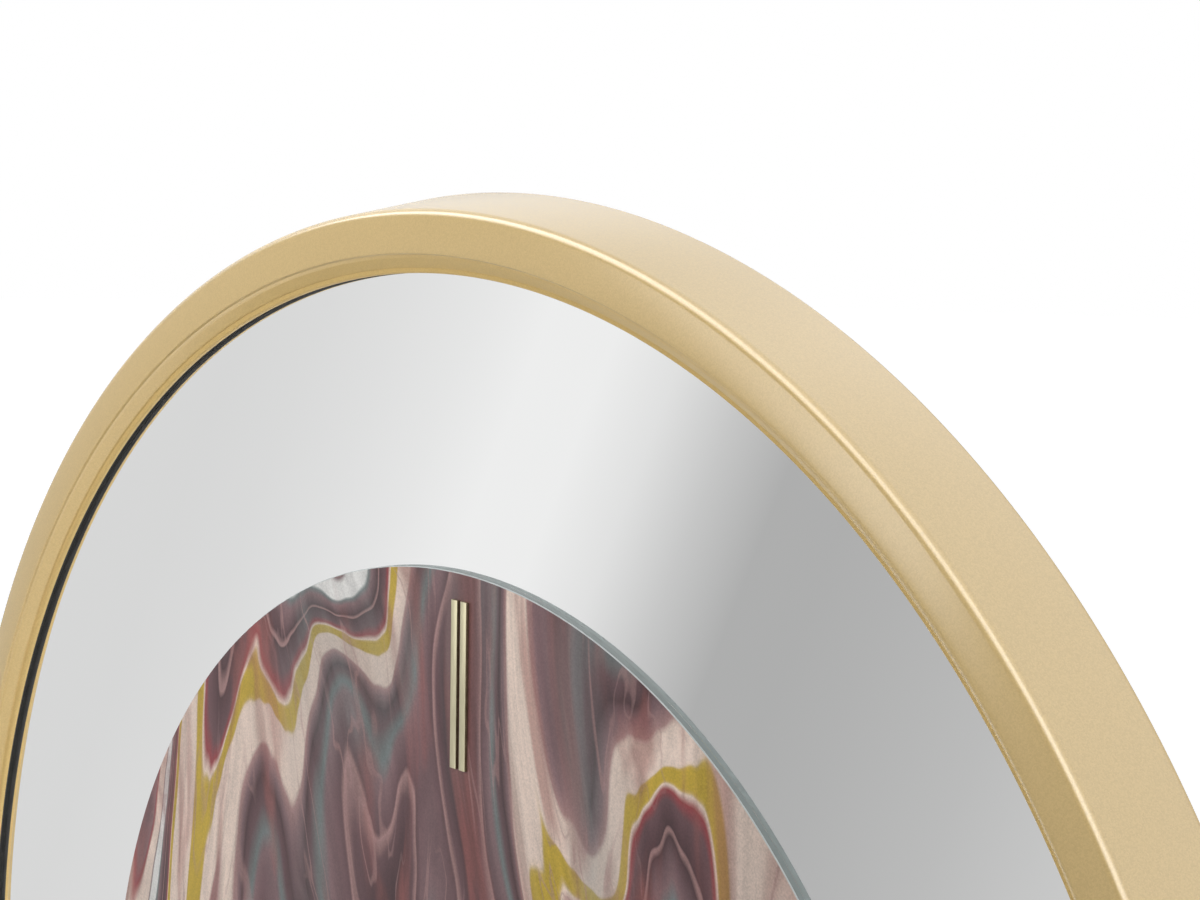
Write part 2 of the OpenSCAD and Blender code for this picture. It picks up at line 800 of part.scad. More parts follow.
module coil_bobbin() {
    half = bobbin_len / 2 - fix_gap;
    color("#d8d2c2") hung() on_core() difference() {
        union() {
            bar(-half, half, bobbin_r);
            bar(-half, -half + flange_t, flange_r);
            bar(half - flange_t, half, flange_r);
        }
        cube([core_t + 2 * fix_gap, leg_w + 2 * fix_gap, bobbin_len], center = true);
    }
}

module coil_winding() {
    half = bobbin_len / 2 - 2 * fix_gap - flange_t;
    color("#a5612c") hung() on_core() slab(-half, half) ring(flange_r - winding_in, bobbin_r + fix_gap);
}

module circuit_board() {
    color("#3d6b45") hung() deep_slab(board_s, board_s + board_t) block(board_lo, board_hi);
}

module crystal_can() {
    color("#c4c6c8") hung() at(board_hi - crystal_in)
        translate([0, 0, shell_front - board_s - board_t - crystal_r])
            rotate([-90, 0, 0]) bar(0, crystal_len, crystal_r);
}

module chip_blob() {
    base_z = shell_front - board_s - board_t;
    top_z = base_z - chip_rise;
    color("#1d1d1f") hung() at([board_lo[0] + chip_in[0], board_hi[1] - chip_in[1]])
        rotate_extrude() polygon(concat(
            [[0, base_z], [0, top_z]],
            arc([chip_r - chip_round, top_z + chip_round], chip_round, -90, 0),
            [[chip_r, base_z]]));
}

// Contacts: a leaf against the bay's end, a pad that meets the cell, and a tail to the circuit board
module contact(cell_end, pad_r, board_edge) {
    wall = inner_half;
    deep_slab(cell_s - leaf_w / 2, leaf_s + leaf_t)
        block([wall - leaf_t, cell_y - leaf_w / 2], [wall, tail_y + tail_w]);
    deep_slab(leaf_s, leaf_s + leaf_t) block([board_edge - tail_hold, tail_y], [wall, tail_y + tail_w]);
    on_cell() bar(cell_end + leaf_touch, wall - leaf_t / 2, pad_r);
}

module contact_positive() {
    color("#c9cbcd") hung() contact(cell_len / 2, button_d / 3, board_hi[0]);
}

module contact_negative() {
    color("#c9cbcd") hung() mirror([1, 0, 0]) contact(cell_len / 2, button_d / 2, -board_lo[0]);
}

// Cell: steel can, printed sleeve and button
module on_cell() {
    translate([0, cell_y, shell_front - cell_s]) rotate([0, 90, 0]) children();
}

module battery_can() {
    color("#c7c9cb") hung() on_cell() bar(-cell_len / 2, can_end, cell_d / 2 - sleeve_t);
}

module battery_sleeve() {
    color("#8a8f96") hung() on_cell() slab(-cell_len / 2 + sleeve_in, can_end - sleeve_in)
        ring(cell_d / 2, cell_d / 2 - sleeve_t);
}

module battery_cap() {
    color("#d2d4d6") hung() on_cell() bar(can_end, cell_len / 2, button_d / 2);
}

rim();
lip_gasket();
mirror_plate();
back_panel();
panel_screws();
hanger_bracket();
hanger_screws();
dial_adhesive();
dial_glass();
marker_12();
marker_3();
marker_6();
marker_9();
hour_hand();
minute_hand();
hand_nut();
movement_gasket();
fixing_washer();
fixing_nut();
movement_shell();
movement_cover();
train_bridge();
hour_wheel();
cannon_pinion();
motion_wheel();
setting_shaft();
setting_knob();
clutch_wheel();
third_wheel();
second_wheel();
intermediate_wheel();
rotor_pinion();
rotor_magnet();
stator_plate();
coil_core();
coil_bobbin();
coil_winding();
circuit_board();
crystal_can();
chip_blob();
contact_positive();
contact_negative();
battery_can();
battery_sleeve();
battery_cap();
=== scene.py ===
# %% [markdown]
# # A round mirror clock, dressed piece by piece
# The clock hangs on a wall. A deep gold rim holds a mirror, a printed glass dial lies on the mirror,
# and a small quartz movement sits behind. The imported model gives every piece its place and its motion.
# This lesson turns it into something that looks like the real thing: fine round shapes, softened edges,
# and a finish with its own grain for every material.

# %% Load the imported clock
import math

import bmesh
import bpy
from mathutils import Matrix, Vector


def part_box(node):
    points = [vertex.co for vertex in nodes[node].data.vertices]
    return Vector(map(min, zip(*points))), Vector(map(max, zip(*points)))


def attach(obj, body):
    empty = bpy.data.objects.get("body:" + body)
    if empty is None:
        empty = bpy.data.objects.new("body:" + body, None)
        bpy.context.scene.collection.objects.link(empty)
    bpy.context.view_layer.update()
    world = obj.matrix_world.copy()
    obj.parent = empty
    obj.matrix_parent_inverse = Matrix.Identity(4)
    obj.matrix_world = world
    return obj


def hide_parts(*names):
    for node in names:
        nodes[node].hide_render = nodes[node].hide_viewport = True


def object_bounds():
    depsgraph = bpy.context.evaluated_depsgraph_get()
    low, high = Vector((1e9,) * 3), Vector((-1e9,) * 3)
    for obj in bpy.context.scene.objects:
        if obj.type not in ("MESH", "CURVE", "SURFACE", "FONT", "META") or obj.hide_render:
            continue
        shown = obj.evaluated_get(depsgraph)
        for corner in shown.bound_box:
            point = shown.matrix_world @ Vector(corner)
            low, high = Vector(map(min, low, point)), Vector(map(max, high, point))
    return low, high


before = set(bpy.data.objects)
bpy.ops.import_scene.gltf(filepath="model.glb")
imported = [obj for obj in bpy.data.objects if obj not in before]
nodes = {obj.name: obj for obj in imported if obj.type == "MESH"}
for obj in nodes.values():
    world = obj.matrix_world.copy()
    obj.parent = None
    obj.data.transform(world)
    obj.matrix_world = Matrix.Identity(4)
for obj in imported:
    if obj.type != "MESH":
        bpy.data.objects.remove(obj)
cad_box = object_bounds()
scene = bpy.context.scene
print("packed clock:", len(nodes), "nodes, from", tuple(cad_box[0]), "to", tuple(cad_box[1]))

# %% [markdown]
# ## Camera
# The photograph is taken from the right, a little above the middle, with a long lens. Its viewpoint was
# worked out from the ellipses of the rim, the mirror and the dial. A longer lens further away would draw
# the same rim flatter, so the distance matters as much as the direction.

# %% Camera
CAMERA_AT = (0.6904, -0.5508, 0.3584)
CAMERA_TURN = (81.741, -0.9765, 50.3371)
LENS = 91.455
camera_data = bpy.data.cameras.new("camera")
camera_data.sensor_width = 36
camera_data.lens = LENS
camera = bpy.data.objects.new("camera", camera_data)
camera.location = CAMERA_AT
camera.rotation_euler = [math.radians(angle) for angle in CAMERA_TURN]
scene.collection.objects.link(camera)
scene.camera = camera
scene.view_settings.view_transform = "Standard"
print("camera at", CAMERA_AT, "with a lens of", LENS, "mm")

# %% [markdown]
# ## Sums on sockets
# A finish is a tree of nodes, and most of its nodes only add or multiply. Wiring each by hand hides what
# the tree means. A small class that wraps a socket lets Python write the sums: `1 - mask` adds a Math
# node. Every other kind of node comes from one method: its settings first, then its sockets.

# %% The class that wires nodes
class Wire:
    """A value on its way through a node tree."""

    def __init__(self, tree, socket=None):
        self.tree = tree
        self.socket = socket

    def node(self, kind, sockets=None, out=0, stops=None, **settings):
        """Adds a node: its settings, then its sockets by name or number."""
        made = self.tree.nodes.new("ShaderNode" + kind)
        for name, value in settings.items():
            setattr(made, name, value)
        if stops:
            ramp = made.color_ramp.elements
            while len(ramp) < len(stops):
                ramp.new(0.5)
            for stop, (place, colour) in zip(ramp, stops):
                stop.position = place
                stop.color = (*colour, 1) if isinstance(colour, tuple) else (colour, colour, colour, 1)
        for key, value in (sockets or {}).items():
            if isinstance(value, Wire):
                self.tree.links.new(value.socket, made.inputs[key])
            else:
                made.inputs[key].default_value = value
        return Wire(self.tree, made.outputs[out] if made.outputs else None)

    def sum(self, operation, a, b=0.0):
        return self.node("Math", {0: a, 1: b}, operation=operation)

    def __add__(self, other):
        return self.sum("ADD", self, other)

    __radd__ = __add__

    def __sub__(self, other):
        return self.sum("SUBTRACT", self, other)

    def __rsub__(self, other):
        return self.sum("SUBTRACT", other, self)

    def __mul__(self, other):
        return self.sum("MULTIPLY", self, other)

    __rmul__ = __mul__

    def __truediv__(self, other):
        return self.sum("DIVIDE", self, other)

    def __gt__(self, other):
        return self.sum("GREATER_THAN", self, other)


print("sums on sockets are ready")

# %% [markdown]
# ## The room
# A mirror and a lacquered rim show the room more than themselves, so the room is the first finish. The
# clock stands in a light tent: white all round, with a darker gap to the left between two panels. That
# gap is the grey band in the mirror. The camera sees plain white, matt surfaces get a soft light, and only
# shiny surfaces see the tent's panels. A picture of a studio could do the same, but it would be an image,
# and numbers on a ramp are easier to change.

# %% Directions in the tent
world = bpy.data.worlds.new("tent")
world.use_nodes = True
world.node_tree.nodes.clear()
scene.world = world
tent = Wire(world.node_tree)
looking = tent.node("TexCoord", out="Generated")
along = [tent.node("SeparateXYZ", {0: looking}, out=axis) for axis in range(3)]
# Degrees to the right of straight out from the dial, and degrees above the horizon
heading = tent.sum("ARCTAN2", along[0], 0 - along[1]) * (180 / math.pi)
height = tent.sum("ARCSINE", along[2]) * (180 / math.pi)
TENT_LEAN = 0.37
LEAN_FOOT = 8
leaning = heading - (height + LEAN_FOOT) * TENT_LEAN
print("the tent leans", TENT_LEAN, "degrees a degree")

# %% [markdown]
# The panels stand on a ramp round the horizon, in brightness. Over them is the dome, under them the glow
# of the floor. A dark cloth hangs low at the back left, where the right-hand bevel looks, so that the bevel
# stays deep in tone.

# %% Panels of the tent
PANELS = [
    (-180, 0.80), (-100, 0.80), (-72, 0.72), (-57, 0.72), (-54, 0.81), (-51.5, 0.93), (-50, 0.88),
    (-49, 0.77), (-47.8, 0.60), (-46.5, 0.45), (-45, 0.45), (-43.5, 0.47), (-41, 0.52), (-38, 0.62),
    (-20, 0.85), (-7, 0.72), (3, 0.56), (9, 0.62), (25, 0.90), (60, 0.95), (180, 0.80)]
DOME = 0.85
DOME_RISE = (14.0, 34.0)
FLOOR_GLOW = 0.25
FLOOR_FALL = (18.0, 42.0)
CLOTH = 0.06
CLOTH_TOP = (3.0, 14.0)
CLOTH_SIDE = (85.0, 105.0)


def grey(value):
    return (value, value, value, 1)


def eased(wire, value, low, high):
    """0 up to low, 1 from high, and a smooth step between."""
    return wire.node("MapRange", {0: value, 1: low, 2: high}, interpolation_type="SMOOTHSTEP")


def between(wire, value, rise, fall):
    """1 between two soft edges, each given by its start and its end."""
    return eased(wire, value, *rise) * (1 - eased(wire, value, *fall))


def over(wire, share, first, second):
    return wire.node("Mix", {0: share, 6: first, 7: second}, out=2, data_type="RGBA")


stops = [(place / 360 + 0.5, value) for place, value in PANELS]
panels = tent.node("ValToRGB", {0: leaning / 360 + 0.5}, stops=stops)
dome = over(tent, eased(tent, height, *DOME_RISE), panels, grey(DOME))
walls = over(tent, eased(tent, 0 - height, *FLOOR_FALL), dome, grey(FLOOR_GLOW))
cloth = eased(tent, 0 - height, *CLOTH_TOP) * eased(tent, 0 - heading, *CLOTH_SIDE)
walls = over(tent, cloth, walls, grey(CLOTH))
print("tent with", len(PANELS), "stops and a cloth of", CLOTH)

# %% [markdown]
# A ramp only holds values up to 1, so brighter lights are added on top, as patches with soft edges. Each
# serves one part of the rim's clear coat. The softbox pales the front band on the right, and a side box
# does so for a viewer on the other side. The ceiling behind the clock pales the outer wall, where the coat
# is seen at a glancing angle. A table in front lights the left-hand bevel, and a long tube draws the bright
# line along the rounded front edge. Each soft edge is a pair: where it starts and where it ends. Angles are
# in degrees, and the other edges are parts of the direction's length along an axis.

# %% Softbox and side box, for shiny surfaces
SOFTBOX = 5.8
BOX_LEFT = (-46.5, -41.0)
BOX_RIGHT = (-33.0, -28.0)
BOX_LOW = (-9.5, -6.0)
BOX_HIGH = (8.0, 13.0)
BOX_SLANT_FROM = 2
slanted = tent.sum("MAXIMUM", heading - height, heading - BOX_SLANT_FROM)
softbox = eased(tent, heading, *BOX_LEFT) * (1 - eased(tent, slanted, *BOX_RIGHT))
softbox = softbox * between(tent, height, BOX_LOW, BOX_HIGH) * SOFTBOX
SIDE_BOX = 1.0
SIDE_LEFT = (15.0, 35.0)
SIDE_RIGHT = (80.0, 100.0)
side_box = between(tent, heading, SIDE_LEFT, SIDE_RIGHT) * SIDE_BOX
print("a softbox of", SOFTBOX, "and a side box of", SIDE_BOX)

# %% Ceiling and table, for shiny surfaces
CEILING_LEFT = 0.60
CEILING_RIGHT = 1.75
CEILING_CHANGE = (-0.62, -0.22)
CEILING_NEAR = (-0.30, -0.05)
CEILING_FAR = (0.70, 0.82)
CEILING_RISE = (-5.0, 26.0)
ceiling = CEILING_LEFT + (CEILING_RIGHT - CEILING_LEFT) * eased(tent, along[0], *CEILING_CHANGE)
ceiling = ceiling * between(tent, along[1], CEILING_NEAR, CEILING_FAR) * eased(tent, height, *CEILING_RISE)
TABLE = 9.0
TABLE_NEAR = (0.25, 0.50)
TABLE_FALL = (25.0, 45.0)
table = eased(tent, 0 - along[1], *TABLE_NEAR) * eased(tent, 0 - height, *TABLE_FALL) * TABLE
print("a ceiling of", CEILING_LEFT, "to", CEILING_RIGHT, "and a table of", TABLE)

# %% Tube, for shiny surfaces
TUBE = 6.4
TUBE_WAY = (0.223, 0.789, 0.572)
TUBE_SHIFT = 0.04
TUBE_HALF = 0.46
TUBE_SOFT = 0.38
TUBE_NEAR = (0.05, 0.15)
TUBE_RISE = (15.0, 25.0)
across = tent.node("VectorMath", {0: looking, 1: TUBE_WAY}, out="Value", operation="DOT_PRODUCT")
tube = eased(tent, TUBE_HALF - tent.sum("ABSOLUTE", across - TUBE_SHIFT), 0.0, TUBE_SOFT)
tube = tube * eased(tent, 0 - along[1], *TUBE_NEAR) * eased(tent, height, *TUBE_RISE) * TUBE
print("a tube of", TUBE)

# %% [markdown]
# Matt surfaces take a soft light from the right and above, and a weaker one from behind. The camera itself
# sees plain white.

# %% The tent's light
KEY_WAY = (0.825, 0.0, 0.565)
FILL = 0.02
KEY = 0.81
BACK_LIGHT = 0.60
turn = tent.node("VectorMath", {0: looking, 1: KEY_WAY}, out="Value", operation="DOT_PRODUCT")
soft = FILL + KEY * tent.sum("MAXIMUM", turn, 0.0) + BACK_LIGHT * tent.sum("MAXIMUM", along[1], 0.0)
glossy = tent.node("LightPath", out="Is Glossy Ray")
seen = tent.node("LightPath", out="Is Camera Ray")
through = tent.node("LightPath", out="Is Transmission Ray")
plain = seen + through
shine = 1 + softbox + side_box + ceiling + table + tube
strength = plain + (1 - plain) * (glossy * shine + (1 - glossy) * soft)
shown = over(tent, glossy * (1 - plain), grey(1.0), walls)
tent.node("OutputWorld", {0: tent.node("Background", {0: shown, 1: strength})})
print("soft light from", KEY_WAY)

# %% [markdown]
# ## Lamp and floor
# One small lamp hangs close to the clock, in front of it, above it and to the left. Its light falls off
# with distance, so the front band isn't lit evenly, as in the photograph. Only matt surfaces see it. The
# floor is a plain disc under the rim. It glows for the camera so that it melts into the white tent, and it
# still takes the shadow. For the matt light that it throws back it is dark on the left and white on the
# right. The mirror doesn't see it, because in the photograph it shows nothing but the tent.

# %% Lamp
LAMP_SIZE = (0.50, 0.12)
LAMP_POWER = 2.26
LAMP_AT = (-0.226, -0.60, 0.45)
LAMP_AIM = Vector((0, 0, 0.15))
lamp_data = bpy.data.lights.new("lamp", "AREA")
lamp_data.shape = "RECTANGLE"
lamp_data.size = LAMP_SIZE[0]
lamp_data.size_y = LAMP_SIZE[1]
lamp_data.energy = LAMP_POWER
lamp = bpy.data.objects.new("lamp", lamp_data)
lamp.location = LAMP_AT
lamp.rotation_euler = (LAMP_AIM - lamp.location).to_track_quat("-Z", "Y").to_euler()
lamp.visible_camera = False
lamp.visible_glossy = False
scene.collection.objects.link(lamp)
print("lamp of", LAMP_POWER, "W")

# %% Floor
FLOOR_RADIUS = 6
FLOOR_GREY = 0.10
CARD_WHITE = 0.90
CARD_EDGE = (-0.40, 0.20)
FLOOR_SEEN = 0.50
FLOOR_LIFT = 0.78
floor_finish = bpy.data.materials.new("floor_white")
floor_finish.use_nodes = True
floor_finish.node_tree.nodes.clear()
ground = Wire(floor_finish.node_tree)
direct = ground.node("LightPath", out="Is Camera Ray")
sideways = ground.node("SeparateXYZ", {0: ground.node("TexCoord", out="Object")})
card = over(ground, eased(ground, sideways, *CARD_EDGE), grey(FLOOR_GREY), grey(CARD_WHITE))
chalk = over(ground, direct, card, grey(FLOOR_SEEN))
matt = ground.node("BsdfDiffuse", {0: chalk})
glow = ground.node("Emission", {0: grey(1.0), 1: direct * FLOOR_LIFT})
ground.node("OutputMaterial", {0: ground.node("AddShader", {0: matt, 1: glow})})
bm = bmesh.new()
bmesh.ops.create_circle(bm, cap_ends=True, segments=96, radius=FLOOR_RADIUS)
bmesh.ops.translate(bm, vec=(0, 0, cad_box[0][2]), verts=bm.verts)
floor_mesh = bpy.data.meshes.new("floor")
bm.to_mesh(floor_mesh)
bm.free()
floor_mesh.materials.append(floor_finish)
floor = bpy.data.objects.new("floor", floor_mesh)
floor.visible_glossy = False
scene.collection.objects.link(floor)
print("floor at", round(cad_box[0][2], 4))

# %% [markdown]
# ## A bench to work on
# A clockmaker lays the clock on its back. Here too each piece is drawn face up, in millimetres, with the
# wall at height 0 and the viewer above, and one matrix hangs the finished piece up. Most pieces of this
# clock are round, so the main tool is a lathe: a few corners of the section, each with its rounding, are
# spun about the axis. A cylinder with a bevel modifier could do simple rings, but not the rim's section.

# %% The lathe
HANG = Matrix.Rotation(math.radians(90), 4, "X") @ Matrix.Scale(0.001, 4)
AXIS = (0, 0, 1)
ROUND_STEPS = 5


def rounded_section(corners):
    """A closed outline in the plane of radius and height. A corner is radius, height, rounding."""
    bm = bmesh.new()
    verts = [bm.verts.new((corner[0], 0, corner[1])) for corner in corners]
    bm.faces.new(verts)
    places = [Vector(corner[:2]) for corner in corners]
    for i, corner in enumerate(corners):
        if corner[2] == 0:
            continue
        coming = places[i] - places[i - 1]
        going = places[(i + 1) % len(places)] - places[i]
        reach = corner[2] * math.tan(coming.angle(going) / 2)
        steps = corner[3] if len(corner) > 3 else ROUND_STEPS
        bmesh.ops.bevel(bm, geom=[verts[i]], offset=reach, offset_type="OFFSET", segments=steps,
                        profile=0.5, affect="VERTICES", material=-1)
    bmesh.ops.delete(bm, geom=bm.faces[:], context="FACES_ONLY")
    return bm


def on_lathe(corners, steps):
    """Turns a rounded section into a solid of that many steps."""
    bm = rounded_section(corners)
    bmesh.ops.spin(bm, geom=bm.verts[:] + bm.edges[:], cent=(0, 0, 0), axis=AXIS,
                   angle=2 * math.pi, steps=steps, use_merge=True)
    bmesh.ops.remove_doubles(bm, verts=bm.verts, dist=1e-4)
    bmesh.ops.recalc_face_normals(bm, faces=bm.faces)
    return bm


print("lathe ready, axis", AXIS)

# %% [markdown]
# ## Finishes
# Every finish starts the same way: an empty tree and the object's own coordinates, which are metres on
# this clock. Noise of two sizes gives a material its life. A broad one moves the tone slightly, as paint
# and pressed board do, and a fine one roughens the surface. One helper makes the quiet materials from a
# dark and a light tone, so that the rare, showy ones can have code of their own.

# %% Helpers for finishes
finishes = {}


def new_finish(slot):
    """An empty finish, kept under the record's slot name, with its place in space."""
    material = bpy.data.materials.new(slot)
    material.use_nodes = True
    material.node_tree.nodes.clear()
    finishes[slot] = material
    wire = Wire(material.node_tree)
    return wire, wire.node("TexCoord", out="Object")


def noise(wire, place, size_mm, detail=2.0, out="Fac"):
    sockets = {"Vector": place, "Scale": 1000 / size_mm, "Detail": detail}
    return wire.node("TexNoise", sockets, out=out)


def blend_colours(wire, share, first, second):
    colours = [c if isinstance(c, Wire) else (*c, 1) for c in (first, second)]
    return over(wire, share, *colours)


def bumped(wire, height, depth_mm):
    return wire.node("Bump", {"Height": height, "Distance": depth_mm / 1000, "Strength": 1.0})


def painted(wire, colour, roughness, **sockets):
    """Closes a finish with one shader."""
    named = {name.replace("_", " "): value for name, value in sockets.items()}
    shader = wire.node("BsdfPrincipled", {"Base Color": colour, "Roughness": roughness, **named})
    wire.node("OutputMaterial", {0: shader})


def quiet_finish(slot, dark, light, rough, broad_mm, fine_mm, depth_mm, stretch=(1, 1, 1), **sockets):
    """A finish of two near tones, with a grain that may be stretched along one axis."""
    wire, place = new_finish(slot)
    drawn = wire.node("Mapping", {"Vector": place, "Scale": stretch})
    broad = noise(wire, drawn, broad_mm, 3.0)
    fine = noise(wire, drawn, fine_mm, 2.0)
    share = wire.node("MapRange", {0: broad * 0.6 + fine * 0.4, 1: 0.3, 2: 0.7})
    colour = blend_colours(wire, share, dark, light)
    roughness = rough[0] + (rough[1] - rough[0]) * fine
    painted(wire, colour, roughness, Normal=bumped(wire, fine, depth_mm), **sockets)


print("helpers for finishes are ready")

# %% [markdown]
# ## Gold lacquer
# The rim is moulded and sprayed: a satin gold, full of fine flake, under a smooth clear coat. The flake
# scatters light so widely that the gold is nearly matt, and the clear coat lays sharp white reflections
# over it. A metallic shader would tint those reflections gold, so the base is matt with only a share of
# metal in its flakes, and the coat does the shine. Less of the coat reaches the bevel, and least the bead
# at the lip. Cells of random tone, a third of a millimetre across, give the grain.

# %% Gold lacquer
GOLD_DEEP = (0.630, 0.440, 0.162)
GOLD_PALE = (0.740, 0.530, 0.212)
COAT_LIP = 0.10
COAT_BEVEL = 0.35
COAT_FRONT = 0.55


def lacquer(slot, deep, pale, flake_mm, lip_mm, front_mm, **sockets):
    """Flake under a clear coat, which gains a share at two radii, from the lip to the front."""
    wire, place = new_finish(slot)
    flattened = wire.node("VectorMath", {0: place, 1: (1, 0, 1)}, operation="MULTIPLY")
    radius = wire.node("VectorMath", {0: flattened}, out="Value", operation="LENGTH") * 1000
    bevel = COAT_BEVEL * eased(wire, radius, *lip_mm)
    coat = COAT_LIP + bevel + COAT_FRONT * eased(wire, radius, *front_mm)
    flakes = wire.node("TexVoronoi", {"Vector": place, "Scale": 1000 / flake_mm}, out="Color")
    flake = wire.node("SeparateColor", {0: flakes})
    cloud = noise(wire, place, 60, 2.0)
    peel = noise(wire, place, 2.5, 1.0)
    colour = blend_colours(wire, flake * 0.7 + cloud * 0.3, deep, pale)
    painted(wire, colour, 0.45 + 0.15 * flake, Metallic=0.06 * flake, Coat_Weight=coat,
            Normal=bumped(wire, peel, 0.004), **sockets)


lacquer("gold_lacquer", GOLD_DEEP, GOLD_PALE, 0.35, (283.7, 284.3), (286.8, 288.0), Specular_IOR_Level=0.2,
        Coat_Roughness=0.18, Coat_IOR=1.7)
# Near-black unsprayed plastic; under the lip it also stands in as painted shade
quiet_finish("bare_plastic_and_shade", (0.022, 0.021, 0.020), (0.040, 0.038, 0.036), (0.55, 0.75), 20, 0.5, 0.03)
print("gold lacquer and the bare plastic under it")

# %% [markdown]
# ## Rim
# The section was read from the photograph. The wall leans in towards the front, its front edge is small
# and round, and the front is crowned, so that its outer half catches the softbox and looks paler. A fine
# groove parts the front from the bevel, and a lip with a rounded, undercut edge stands over the mirror.
# Behind, the rim is a hollow channel with eight round bosses for the screws of the back panel.

# %% Rim
RIM_BACK_R = 305
RIM_DRAFT = math.tan(math.radians(8))
RIM_FRONT = 32
INNER_WALL_R = RIM_BACK_R - 3.03
LAND = 29
SEAT_R = 290
SEAT = 25.45
RIM_SECTION = [
    (INNER_WALL_R, 0, 0.3, 2),
    (RIM_BACK_R, 0, 1.5),
    (300.70, 30.57, 3.0, 14),
    (293.35, RIM_FRONT, 54.0, 10),
    (288.05, RIM_FRONT, 0.45, 5),
    (287.65, 31.10, 0.30, 4),
    (286.70, 30.62, 0.80, 4),
    (284.00, 28.35, 0.20, 3),
    (283.72, 27.85, 0.12, 3),
    (282.15, 27.78, 0.75, 6),
    (282.10, 26.10, 0.45, 4),
    (282.95, SEAT, 0.30, 3),
    (SEAT_R, SEAT, 0),
    (SEAT_R, LAND, 0),
    (INNER_WALL_R - LAND * RIM_DRAFT, LAND, 0)]
RIM_STEPS = 576
bm = on_lathe(RIM_SECTION, RIM_STEPS)
print("rim section of", len(RIM_SECTION), "corners, turned to", len(bm.faces), "faces")

# %% [markdown]
# The bosses are short tubes that stand on the rim's land. A cylinder's end face is inset and pushed in,
# which leaves the pilot hole.

# %% Bosses of the rim
BOSS_RING = 293.45
BOSS_BACK = 21.45
BOSS_R = 4
PILOT_R = 1.33
PILOT_DEPTH = 7


def add_boss(bm, angle):
    foot = LAND + 0.5
    place = Matrix.Rotation(angle, 4, "Z") @ Matrix.Translation((BOSS_RING, 0, (BOSS_BACK + foot) / 2))
    made = bmesh.ops.create_cone(bm, cap_ends=True, segments=32, radius1=BOSS_R, radius2=BOSS_R,
                                 depth=foot - BOSS_BACK, matrix=place)
    faces = {face for vert in made["verts"] for face in vert.link_faces}
    end = min(faces, key=lambda face: face.calc_center_median().z)
    bmesh.ops.inset_region(bm, faces=[end], thickness=BOSS_R - PILOT_R)
    pushed = bmesh.ops.extrude_discrete_faces(bm, faces=[end])["faces"]
    bmesh.ops.translate(bm, vec=(0, 0, PILOT_DEPTH), verts=pushed[0].verts)


for i in range(8):
    add_boss(bm, math.radians(45 * (i + 0.5)))
LIP_UNDER = 26.35


def unsprayed_and_shaded(face):
    """True in the channel and under the lip, where no gold lands; under the lip its near-black is also
    painted shade.
    """
    centre = face.calc_center_median()
    outward = Vector((centre.x, centre.y, 0)).normalized()
    under_lip = centre.xy.length < SEAT_R + 1 and centre.z < LIP_UNDER
    in_channel = SEAT_R - 1 < centre.xy.length < INNER_WALL_R and 0.4 < centre.z < LAND + 0.1
    return under_lip or in_channel and (face.normal.z < -0.9 or face.normal.dot(outward) < -0.5)


# Faces under the lip and in the channel get the near-black plastic; under the lip it is painted shade as well
# as bare plastic
bm.normal_update()
bare_and_shaded = [face for face in bm.faces if unsprayed_and_shaded(face)]
for face in bare_and_shaded:
    face.material_index = 1
print("rim with bosses:", len(bm.faces), "faces,", len(bare_and_shaded), "of them bare")

# %% [markdown]
# ## From bmesh to piece
# A finished bmesh is hung up, shaded smooth with sharp corners kept, and put on the body that it moves with.
# The CAD node that it stands for is hidden.

# %% Hanging a finished piece
SHARP = math.radians(32)


def hang_up(bm, name, slot, node, body="case", extra=()):
    bmesh.ops.transform(bm, matrix=HANG, verts=bm.verts)
    mesh = bpy.data.meshes.new(name)
    bm.to_mesh(mesh)
    bm.free()
    for finish in (slot, *extra):
        mesh.materials.append(finishes[finish])
    mesh.shade_smooth()
    mesh.set_sharp_from_angle(angle=SHARP)
    piece = bpy.data.objects.new(name, mesh)
    scene.collection.objects.link(piece)
    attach(piece, body)
    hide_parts(node)
    print(name, "stands for", node, "with", len(mesh.polygons), "faces")


hang_up(bm, "gold_rim", "gold_lacquer", "rim", extra=("bare_plastic_and_shade",))

# %% [markdown]
# ## Mirror and gasket
# The mirror is a disc of float glass, silvered at the back. Modelled as glass over silver it would need
# many bounces for the same picture, so it is a polished metal with a trace of haze. Its ground edge is
# grey-green glass, and its back is painted. A strip of black foam lies between it and the lip. On the left
# of the photograph the foam and its own reflection make the thin black line.

# %% Mirror finish and glass edge
wire, place = new_finish("mirror_silver")
smear = noise(wire, place, 90, 3.0)
dust = noise(wire, place, 0.8, 0.0)
tone = blend_colours(wire, smear, (0.925, 0.930, 0.928), (0.945, 0.948, 0.945))
painted(wire, tone, 0.004 + 0.006 * smear * dust, Metallic=1.0)

EDGE_DARK = (0.100, 0.120, 0.118)
EDGE_PALE = (0.150, 0.172, 0.170)
quiet_finish("glass_edge", EDGE_DARK, EDGE_PALE, (0.45, 0.55), 25, 4, 0.002, Specular_IOR_Level=0.25)
quiet_finish("glass_arris", (0.46, 0.49, 0.49), (0.56, 0.59, 0.59), (0.65, 0.75), 12, 2, 0.002,
             Specular_IOR_Level=0.1)
quiet_finish("backing_paint", (0.105, 0.100, 0.092), (0.150, 0.145, 0.135), (0.50, 0.70), 30, 1.5, 0.02)
quiet_finish("black_foam", (0.006, 0.006, 0.005), (0.018, 0.017, 0.015), (0.75, 0.95), 3, 0.5, 0.08)
print("mirror, glass edge, backing and foam finishes")

# %% Mirror
HOLE_R = 4.25
MIRROR_R = 288.75
MIRROR_BACK = 21.45
MIRROR_FRONT = 24.45
GROUND = 0.28
DISC_STEPS = 288


